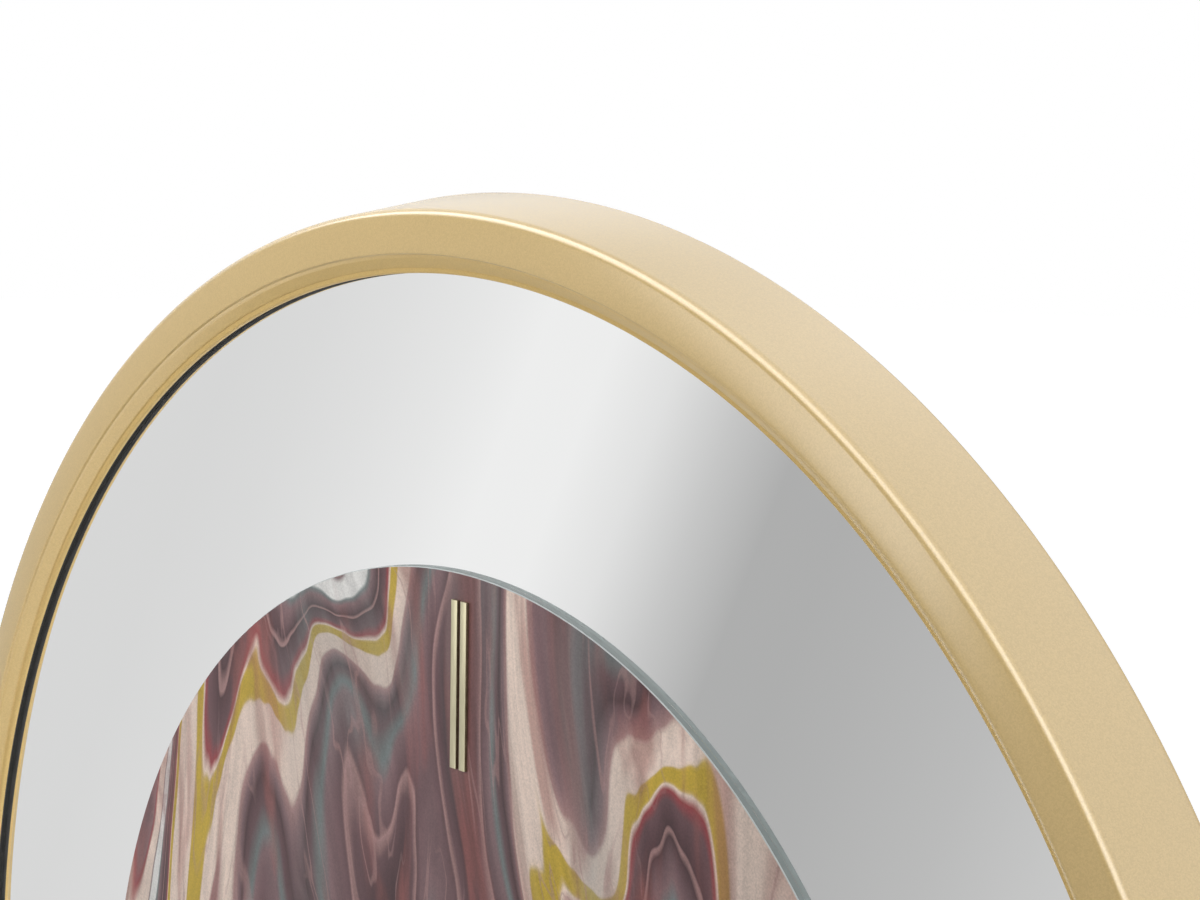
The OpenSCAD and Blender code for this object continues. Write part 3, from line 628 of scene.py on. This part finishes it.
def glass_disc(radius, back, front, steps, foot=()):
    """A flat ring of glass with a ground arris. Slot 0 is its face, 1 its edge, 2 its arris."""
    edge = [*foot, (radius, foot[-1][1] if foot else back, 0), (radius, front, GROUND, 1)]
    bm = on_lathe([(HOLE_R, back, 0), *edge, (HOLE_R, front, 0)], steps)
    for face in bm.faces:
        flat = abs(face.normal.z)
        face.material_index = 0 if flat > 0.99 else 1 if face.normal.z < 0.1 else 2
    return bm


bm = glass_disc(MIRROR_R, MIRROR_BACK, MIRROR_FRONT, DISC_STEPS)
for face in bm.faces:
    if face.normal.z < -0.99:
        face.material_index = 3
hang_up(bm, "silvered_mirror", "mirror_silver", "mirror_plate",
        extra=("glass_edge", "glass_arris", "backing_paint"))
GASKET_IN = 283.0
bm = on_lathe([(GASKET_IN, MIRROR_FRONT, 0.25, 3), (MIRROR_R, MIRROR_FRONT, 0.25, 3),
               (MIRROR_R, SEAT, 0.25, 3), (GASKET_IN, SEAT, 0.25, 3)], DISC_STEPS)
hang_up(bm, "foam_gasket", "black_foam", "lip_gasket")

# %% [markdown]
# ## Dial print
# The dial is glass with a marbled print. The print here is a design of its own: rounded pools and ribbons
# of mauve, cream, ochre and grey-blue. Real marbling is made by drawing a comb through floating paint.
# The nodes do the same: noise bends the plane, more noise bends it again, and a last smooth noise is cut
# into bands of colour by a ramp. Streaks and thin veins follow the flow, and a fine noise adds the dots of
# the printer.

# %% Dial print
MAROON = (0.058, 0.026, 0.030)
PLUM = (0.112, 0.058, 0.064)
MAUVE = (0.195, 0.118, 0.125)
ROSE = (0.360, 0.215, 0.205)
CREAM = (0.720, 0.585, 0.505)
CHALK = (0.700, 0.690, 0.670)
OCHRE = (0.470, 0.330, 0.045)
SLATE = (0.150, 0.178, 0.175)
RUBY = (0.260, 0.045, 0.050)
RUST = (0.270, 0.095, 0.085)
wire, place = new_finish("dial_print")


def stirred(place, size_mm, reach_mm, detail=1.0):
    """Bends the plane by a noise of that size."""
    swirl = noise(wire, place, size_mm, detail, out="Color")
    centred = wire.node("VectorMath", {0: swirl, 1: (0.5, 0.5, 0.5)}, operation="SUBTRACT")
    pushed = wire.node("VectorMath", {0: centred, 3: reach_mm / 1000}, operation="SCALE")
    return wire.node("VectorMath", {0: place, 1: pushed}, operation="ADD")


turned = wire.node("Mapping", {"Vector": place, "Location": (0.31, 0.0, 0.17), "Rotation": (0, 0.7, 0),
                               "Scale": (1.0, 1.0, 0.48)})
poured = stirred(turned, 190, 260)
drawn = stirred(poured, 70, 60)
combed = stirred(drawn, 24, 11, 2.0)
field = wire.node("MapRange", {0: noise(wire, combed, 130, 2.0), 1: 0.30, 2: 0.70})
BANDS = [
    (0.00, MAROON), (0.06, PLUM), (0.09, ROSE), (0.10, PLUM), (0.17, MAUVE), (0.20, SLATE), (0.24, PLUM),
    (0.27, MAROON), (0.30, MAUVE), (0.32, ROSE), (0.33, CREAM), (0.39, CREAM), (0.395, OCHRE),
    (0.425, OCHRE), (0.43, CREAM), (0.44, RUBY), (0.46, PLUM), (0.50, MAROON), (0.505, ROSE),
    (0.515, MAROON), (0.56, MAUVE), (0.58, SLATE), (0.59, CHALK), (0.65, CHALK), (0.66, MAUVE),
    (0.67, CREAM), (0.73, CREAM), (0.745, RUBY), (0.76, MAUVE), (0.85, MAROON), (0.93, SLATE), (1.00, PLUM)]
marbled = wire.node("ValToRGB", {0: field}, stops=BANDS)
long_way = wire.node("Mapping", {"Vector": combed, "Scale": (1, 1, 0.12)})
streak = noise(wire, long_way, 5, 3.0)
blush = eased(wire, noise(wire, long_way, 14, 3.0), 0.50, 0.68)
haze = eased(wire, noise(wire, drawn, 60, 2.0), 0.52, 0.70)
warmed = blend_colours(wire, blush * 0.60, marbled, RUST)
cooled = blend_colours(wire, haze * streak * 0.8, warmed, SLATE)
ridge = wire.sum("ABSOLUTE", noise(wire, long_way, 11, 2.0) - 0.5)
vein = (1 - eased(wire, ridge, 0.004, 0.022)) * eased(wire, noise(wire, drawn, 35, 1.0), 0.44, 0.58)
veined = blend_colours(wire, vein * 0.45, cooled, ROSE)
depth = noise(wire, drawn, 45, 2.0)
dots = noise(wire, place, 0.55, 2.0)
tone = 0.10 + 0.54 * depth + 1.02 * streak + 0.62 * dots
printed = wire.node("VectorMath", {0: veined, 3: tone}, operation="SCALE")
painted(wire, printed, 0.30 + 0.12 * dots, Specular_IOR_Level=0.3, Coat_Weight=0.12, Coat_Roughness=0.06)
print("dial print with", len(BANDS), "bands")

# %% Dial
DIAL_R = 196
DIAL_BACK = 24.65
DIAL_FRONT = 26.65
# The edge reaches down to the mirror, so no dark slit shows over the adhesive
FOOT_R = 195.05
FOOT_BACK = 24.47
foot = [(FOOT_R, DIAL_BACK, 0), (FOOT_R, FOOT_BACK, 0)]
bm = glass_disc(DIAL_R, DIAL_BACK, DIAL_FRONT, DISC_STEPS, foot=foot)
hang_up(bm, "printed_dial", "dial_print", "dial_glass", extra=("glass_edge", "glass_arris"))

# %% [markdown]
# ## Markers
# Two thin bars mark twelve, and single bars three, six and nine. They are cut from sheet metal and stuck
# on: a pale brushed gold on top, and sides of a much darker tone. A cube scaled to size is bevelled by a
# tenth of a millimetre, enough to catch a line of light.

# %% Marker bars
quiet_finish("bar_gold", (0.50, 0.450, 0.290), (0.66, 0.615, 0.430), (0.30, 0.46), 14, 0.5, 0.01,
             stretch=(1, 1, 0.1), Metallic=0.75)
# The sides of the bars get a much darker tone than the top
quiet_finish("bar_side_dark", (0.10, 0.075, 0.040), (0.20, 0.160, 0.095), (0.35, 0.55), 4, 0.5, 0.02, Metallic=0.6)
BAR_TOP = 188
BAR_LENGTH = 50
BAR_WIDTH = 2.85
BAR_THICK = 1
BAR_BEVEL = 0.12
PAIR_HALF = 2.175


def cut_bar(bm, x, turn):
    size = Matrix.Diagonal((BAR_WIDTH, BAR_LENGTH, BAR_THICK, 1))
    place = Matrix.Translation((x, BAR_TOP - BAR_LENGTH / 2, DIAL_FRONT + BAR_THICK / 2))
    bmesh.ops.create_cube(bm, size=1, matrix=Matrix.Rotation(turn, 4, "Z") @ place @ size)


def marker(name, node, places, turn):
    bm = bmesh.new()
    for x in places:
        cut_bar(bm, x, math.radians(turn))
    for face in bm.faces:
        face.material_index = 0 if abs(face.normal.z) > 0.9 else 1
    bmesh.ops.bevel(bm, geom=bm.edges[:], offset=BAR_BEVEL, offset_type="OFFSET", segments=2, profile=0.5,
                    affect="EDGES", material=-1)
    hang_up(bm, name, "bar_gold", node, extra=("bar_side_dark",))


marker("bars_12", "marker_12", (-PAIR_HALF, PAIR_HALF), 0)
marker("bar_3", "marker_3", (0,), -90)
marker("bar_6", "marker_6", (0,), 180)
marker("bar_9", "marker_9", (0,), 90)

# %% [markdown]
# ## Hands and the stack at the centre
# The hands are thin tapered blades of the same gold, pressed on the arbors and held by a round nut. Their
# CAD outline is right, so the nodes stay. Three modifiers soften them: Weld joins the loose triangles,
# Decimate makes whole faces of flat areas, and Bevel rounds the edges. The same goes for most small pieces
# behind the dial.

# %% Dressing the nodes that stay
JOIN = 1e-6
FLAT = math.radians(0.5)
EDGE = math.radians(40)


def dress(node, slot, round_mm=0.0):
    """Gives a CAD node its finish, and softens its edges by a small bevel."""
    piece = nodes[node]
    piece.data.materials.clear()
    piece.data.materials.append(finishes[slot])
    if round_mm:
        weld = piece.modifiers.new("join", "WELD")
        weld.merge_threshold = JOIN
        flatten = piece.modifiers.new("flatten", "DECIMATE")
        flatten.decimate_type = "DISSOLVE"
        flatten.angle_limit = FLAT
        soften = piece.modifiers.new("soften", "BEVEL")
        soften.width = round_mm / 1000
        soften.segments = 2
        soften.limit_method = "ANGLE"
        soften.angle_limit = EDGE
        soften.harden_normals = True


lacquer("hand_gold", GOLD_DEEP, GOLD_PALE, 0.25, (0, 1), (0, 1), Coat_Roughness=0.14)
quiet_finish("nut_brass", (0.52, 0.36, 0.14), (0.70, 0.51, 0.23), (0.20, 0.36), 5, 0.3, 0.01, Metallic=1.0)
quiet_finish("clear_film", (0.62, 0.60, 0.55), (0.76, 0.74, 0.69), (0.25, 0.45), 20, 1.0, 0.01)
dress("hour_hand", "hand_gold", 0.15)
dress("minute_hand", "hand_gold", 0.15)
dress("hand_nut", "hand_gold", 0.10)
dress("fixing_nut", "nut_brass", 0.20)
dress("fixing_washer", "nut_brass", 0.10)
dress("dial_adhesive", "clear_film")
print("hands and centre stack dressed")

# %% [markdown]
# ## Back of the clock
# The back is a sheet of brown fibreboard. Its fibres lie in every direction, so the grain is a noise that
# is stretched three ways, with dark specks of bark. The hanger and the screws are zinc-plated steel, which
# shows large soft spangles, and the screws have pan heads with a cross.

# %% Fibreboard
wire, place = new_finish("fibreboard")
BOARD_DARK = (0.215, 0.128, 0.066)
BOARD_PALE = (0.400, 0.270, 0.155)
BARK = (0.070, 0.038, 0.020)


def fibres_along(angle, thick_mm):
    """Noise that is stretched nine times along one way in the board."""
    sockets = {"Vector": place, "Rotation": (0, angle, 0), "Scale": (1, 1, 9)}
    return noise(wire, wire.node("Mapping", sockets, vector_type="TEXTURE"), thick_mm, 3.0)


cloudy = noise(wire, place, 45, 3.0)
fibres = (fibres_along(0.5, 0.40) + fibres_along(1.5, 0.45) + fibres_along(2.6, 0.36)) / 3
board = blend_colours(wire, wire.node("MapRange", {0: fibres * 0.7 + cloudy * 0.3, 1: 0.40, 2: 0.60}),
                      BOARD_DARK, BOARD_PALE)
speck = wire.node("MapRange", {0: fibres_along(1.1, 0.30), 1: 0.66, 2: 0.74})
board = blend_colours(wire, speck * 0.6, board, BARK)
painted(wire, board, 0.72 + 0.2 * fibres, Normal=bumped(wire, fibres, 0.06))
dress("back_panel", "fibreboard")

# %% Plated steel
wire, place = new_finish("zinc_steel")
spangle = wire.node("SeparateColor", {0: wire.node("TexVoronoi", {"Vector": place, "Scale": 240.0},
                                                   out="Color")})
scuff = noise(wire, place, 0.9, 3.0)
plated = blend_colours(wire, spangle * 0.6 + scuff * 0.4, (0.42, 0.43, 0.45), (0.63, 0.64, 0.65))
painted(wire, plated, 0.28 + 0.16 * scuff + 0.06 * spangle, Metallic=1.0,
        Normal=bumped(wire, scuff, 0.01))
dress("hanger_bracket", "zinc_steel", 0.25)
dress("panel_screws", "zinc_steel", 0.20)
dress("hanger_screws", "zinc_steel", 0.20)
print("back panel, hanger and screws dressed")

# %% [markdown]
# ## Movement case
# The movement is a box of black moulded plastic with a fine spark-eroded grain, and its setting knob has
# a milled edge. Rubber under the case takes up the play of the fixing nut. The knob's own teeth are in the
# solid, so a bevel is all that it needs.

# %% Case, knob and rubber
quiet_finish("case_black", (0.012, 0.012, 0.013), (0.024, 0.024, 0.026), (0.42, 0.62), 12, 0.35, 0.03)
quiet_finish("knob_black", (0.020, 0.020, 0.021), (0.038, 0.038, 0.040), (0.30, 0.45), 5, 0.4, 0.02)
quiet_finish("rubber_black", (0.008, 0.008, 0.008), (0.020, 0.019, 0.018), (0.70, 0.92), 4, 0.4, 0.05)
dress("movement_shell", "case_black", 0.35)
dress("movement_cover", "case_black", 0.25)
dress("setting_knob", "knob_black", 0.12)
dress("movement_gasket", "rubber_black")
print("movement case dressed")

# %% [markdown]
# ## Going train and motor
# Out of sight in the case, plastic wheels turn on fine arbors, a ring magnet spins in a steel stator,
# and a copper coil drives it. They keep their CAD shapes, because the teeth have to mesh, and get the
# ivory of acetal resin, brass, steel, and the green of a circuit board.

# %% Wheels and arbors
quiet_finish("gear_ivory", (0.600, 0.550, 0.420), (0.740, 0.690, 0.560), (0.34, 0.48), 6, 0.4, 0.01)
quiet_finish("bridge_ivory", (0.550, 0.520, 0.430), (0.690, 0.660, 0.570), (0.42, 0.58), 10, 0.4, 0.02)
quiet_finish("arbor_brass", (0.500, 0.340, 0.120), (0.680, 0.490, 0.210), (0.18, 0.32), 4, 0.2, 0.006,
             stretch=(1, 0.1, 1), Metallic=1.0)
quiet_finish("shaft_grey", (0.330, 0.335, 0.340), (0.450, 0.455, 0.460), (0.35, 0.50), 5, 0.3, 0.01)
WHEELS = ("hour_wheel", "motion_wheel", "clutch_wheel", "third_wheel", "second_wheel",
          "intermediate_wheel", "rotor_pinion")
for wheel in WHEELS:
    dress(wheel, "gear_ivory")
dress("train_bridge", "bridge_ivory", 0.12)
dress("cannon_pinion", "arbor_brass")
dress("setting_shaft", "shaft_grey")
print(len(WHEELS), "wheels dressed")

# %% Motor and circuit
quiet_finish("magnet_grey", (0.060, 0.060, 0.064), (0.120, 0.120, 0.126), (0.40, 0.60), 3, 0.3, 0.02,
             Metallic=0.6)
quiet_finish("stator_steel", (0.330, 0.340, 0.350), (0.480, 0.490, 0.500), (0.30, 0.46), 8, 0.3, 0.01,
             stretch=(1, 1, 0.1), Metallic=1.0)
quiet_finish("bobbin_ivory", (0.520, 0.480, 0.380), (0.660, 0.620, 0.520), (0.40, 0.55), 6, 0.4, 0.01)
quiet_finish("can_bright", (0.560, 0.565, 0.570), (0.700, 0.705, 0.710), (0.16, 0.30), 4, 0.3, 0.006,
             Metallic=1.0)
quiet_finish("chip_resin", (0.008, 0.008, 0.009), (0.018, 0.018, 0.019), (0.18, 0.34), 4, 0.8, 0.03)
quiet_finish("contact_steel", (0.520, 0.525, 0.530), (0.680, 0.685, 0.690), (0.22, 0.38), 6, 0.3, 0.008,
             Metallic=1.0)
wire, place = new_finish("winding_copper")
turns = wire.node("TexWave", {"Vector": place, "Scale": 1000 / 0.9, "Distortion": 0.6},
                  wave_type="BANDS", bands_direction="X")
turn_tone = wire.node("SeparateColor", {0: turns})
copper = blend_colours(wire, turn_tone, (0.240, 0.085, 0.030), (0.560, 0.250, 0.110))
painted(wire, copper, 0.26 + 0.16 * (1 - turn_tone), Metallic=1.0, Normal=bumped(wire, turn_tone, 0.05))
wire, place = new_finish("board_green")
facing = wire.node("Mapping", {"Vector": place, "Rotation": (math.radians(-90), 0, 0)})
grid = {"Scale": 1000.0, "Mortar Size": 0.16, "Mortar Smooth": 0.2, "Brick Width": 11.0, "Row Height": 1.0}
lines = wire.node("TexBrick", {"Vector": facing, **grid}, out="Fac", offset=0.29, offset_frequency=3)
track = lines * eased(wire, noise(wire, place, 5, 0.0), 0.44, 0.48)
mask = blend_colours(wire, noise(wire, place, 1.2), (0.016, 0.075, 0.028), (0.026, 0.105, 0.040))
painted(wire, blend_colours(wire, track, mask, (0.060, 0.200, 0.070)), 0.30 + 0.1 * track,
        Normal=bumped(wire, track, 0.035))
dress("rotor_magnet", "magnet_grey", 0.15)
dress("stator_plate", "stator_steel", 0.08)
dress("coil_core", "stator_steel", 0.08)
dress("coil_bobbin", "bobbin_ivory", 0.10)
dress("coil_winding", "winding_copper", 0.20)
dress("circuit_board", "board_green", 0.06)
dress("crystal_can", "can_bright", 0.20)
dress("chip_blob", "chip_resin")
dress("contact_positive", "contact_steel")
dress("contact_negative", "contact_steel")
print("motor and circuit dressed")

# %% [markdown]
# ## Cell
# A cell of the usual penlight size lies across the bay. It is a drawn steel can with rolled shoulders, a
# plain printed sleeve of two tones, and a button at the positive end. All three lie on one axis, so the
# lathe serves again, and a matrix lays what it turned in the bay.

# %% Cell
CELL_Y, CELL_Z = [1000 * sum(c) / 2 for c in zip(*[(p[2], -p[1]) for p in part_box("battery_can")])]
CELL_HALF = 25.25
CELL_R = 7.1
CAN_END = CELL_HALF - 1
SKIN = 0.15
CELL_STEPS = 64
BAND_FROM = 0.011
quiet_finish("cell_can", (0.540, 0.545, 0.550), (0.690, 0.695, 0.700), (0.18, 0.30), 5, 0.4, 0.006,
             Metallic=1.0)
wire, place = new_finish("cell_sleeve")
lengths = wire.node("SeparateXYZ", {0: place})
band = lengths > BAND_FROM
weave = noise(wire, place, 0.6, 2.0)
sleeve = blend_colours(wire, band, (0.030, 0.040, 0.055), (0.370, 0.240, 0.090))
sleeve = blend_colours(wire, 0.25 * weave, sleeve, (0.300, 0.300, 0.300))
painted(wire, sleeve, 0.24 + 0.12 * weave, Normal=bumped(wire, weave, 0.01))


def cell_piece(name, slot, node, corners):
    """Turns a section of the cell, drawn as radius and length, and lays it in the bay."""
    bm = on_lathe(corners, CELL_STEPS)
    lay = Matrix.Translation((0, CELL_Y, CELL_Z)) @ Matrix.Rotation(math.radians(90), 4, "Y")
    bmesh.ops.transform(bm, matrix=lay, verts=bm.verts)
    hang_up(bm, name, slot, node, body="cell")


cell_piece("cell_steel", "cell_can", "battery_can", [
    (0, -CELL_HALF, 0), (CELL_R - SKIN, -CELL_HALF, 0.8), (CELL_R - SKIN, CAN_END, 0.8), (0, CAN_END, 0)])
cell_piece("cell_wrap", "cell_sleeve", "battery_sleeve", [
    (CELL_R - SKIN, -CELL_HALF + 0.5, 0), (CELL_R, -CELL_HALF + 0.5, 0.1, 2),
    (CELL_R, CAN_END - 0.5, 0.1, 2), (CELL_R - SKIN, CAN_END - 0.5, 0)])
cell_piece("cell_button", "cell_can", "battery_cap", [
    (0, CAN_END, 0), (2.75, CAN_END, 0), (2.75, CELL_HALF, 0.4), (0, CELL_HALF, 0)])
